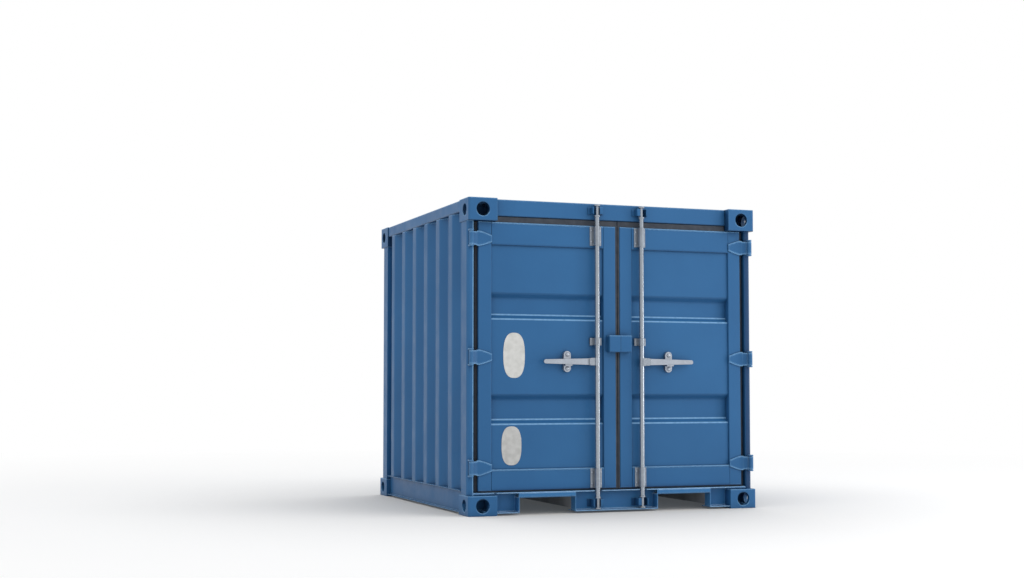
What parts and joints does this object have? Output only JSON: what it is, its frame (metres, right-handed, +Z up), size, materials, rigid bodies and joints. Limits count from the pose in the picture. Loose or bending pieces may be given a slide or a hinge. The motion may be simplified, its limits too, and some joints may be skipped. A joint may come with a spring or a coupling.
{
  "type": "small shipping container",
  "caption": "Short steel shipping container with corrugated walls, corner castings, fork pockets and two end doors held by locking bars with cams and lift-up handles.",
  "frame": {"origin": "centre of the footprint, on the ground under the castings", "axes": "+X to the right as seen from the door end, +Y from the door end to the back, +Z up"},
  "size_m": [1.95, 1.98, 1.918],
  "materials": {
    "blue_paint": "semi-gloss blue paint on steel",
    "galvanised_steel": "dull zinc coat",
    "gasket_rubber": "matt black rubber",
    "underseal": "dull grey underseal on steel",
    "floor_plywood": "sealed plywood"
  },
  "bodies": {
    "frame": {"top_corner_castings": "blue_paint", "bottom_corner_castings": "blue_paint", "left_door_post": "blue_paint", "right_door_post": "blue_paint", "left_back_post": "blue_paint", "right_back_post": "blue_paint", "door_header": "blue_paint", "door_sill": "blue_paint", "sill_end_caps": "blue_paint", "back_top_rail": "blue_paint", "back_sill": "blue_paint", "left_top_rail": "blue_paint", "right_top_rail": "blue_paint", "left_bottom_rail": "blue_paint", "right_bottom_rail": "blue_paint", "left_side_wall": "blue_paint", "right_side_wall": "blue_paint", "back_wall": "blue_paint", "roof_panel": "blue_paint", "floor_boards": "floor_plywood", "floor_crossmembers": "underseal", "left_fork_pocket": "underseal", "right_fork_pocket": "underseal", "left_hinge_lugs": "blue_paint", "right_hinge_lugs": "blue_paint", "cam_keepers": "blue_paint"},
    "left_door": {"left_door_stiles": "blue_paint", "left_door_rails": "blue_paint", "left_door_panel": "blue_paint", "left_door_gasket": "gasket_rubber", "left_hinge_blades": "blue_paint", "left_bar_brackets": "galvanised_steel", "left_handle_holder": "galvanised_steel", "left_lock_box": "blue_paint"},
    "left_lock_bar": {"left_lock_bar": "galvanised_steel"},
    "left_handle": {"left_lock_handle": "galvanised_steel"},
    "right_door": {"right_door_stiles": "blue_paint", "right_door_rails": "blue_paint", "right_door_panel": "blue_paint", "right_door_gasket": "gasket_rubber", "right_hinge_blades": "blue_paint", "right_bar_brackets": "galvanised_steel", "right_handle_holder": "galvanised_steel", "right_lock_box": "blue_paint"},
    "right_lock_bar": {"right_lock_bar": "galvanised_steel"},
    "right_handle": {"right_lock_handle": "galvanised_steel"}
  },
  "joints": [
    {"name": "left_door_swing", "type": "hinge", "parent": "frame", "child": "left_door", "pos_m": [-0.951, -0.972, 0.953], "axis": [0, 0, -1], "range_deg": [0, 262]},
    {"name": "left_bar_turn", "type": "hinge", "parent": "left_door", "child": "left_lock_bar", "pos_m": [-0.124, -0.968, 0.953], "axis": [0, 0, -1], "range_deg": [-100, 0]},
    {"name": "left_handle_lift", "type": "hinge", "parent": "left_lock_bar", "child": "left_handle", "pos_m": [-0.168, -0.968, 0.93], "axis": [0, -1, 0], "range_deg": [-60, 0]},
    {"name": "right_door_swing", "type": "hinge", "parent": "frame", "child": "right_door", "pos_m": [0.951, -0.972, 0.953], "axis": [0, 0, 1], "range_deg": [0, 262]},
    {"name": "right_bar_turn", "type": "hinge", "parent": "right_door", "child": "right_lock_bar", "pos_m": [0.18, -0.968, 0.953], "axis": [0, 0, 1], "range_deg": [-100, 0]},
    {"name": "right_handle_lift", "type": "hinge", "parent": "right_lock_bar", "child": "right_handle", "pos_m": [0.224, -0.968, 0.93], "axis": [0, 1, 0], "range_deg": [-60, 0]}
  ]
}
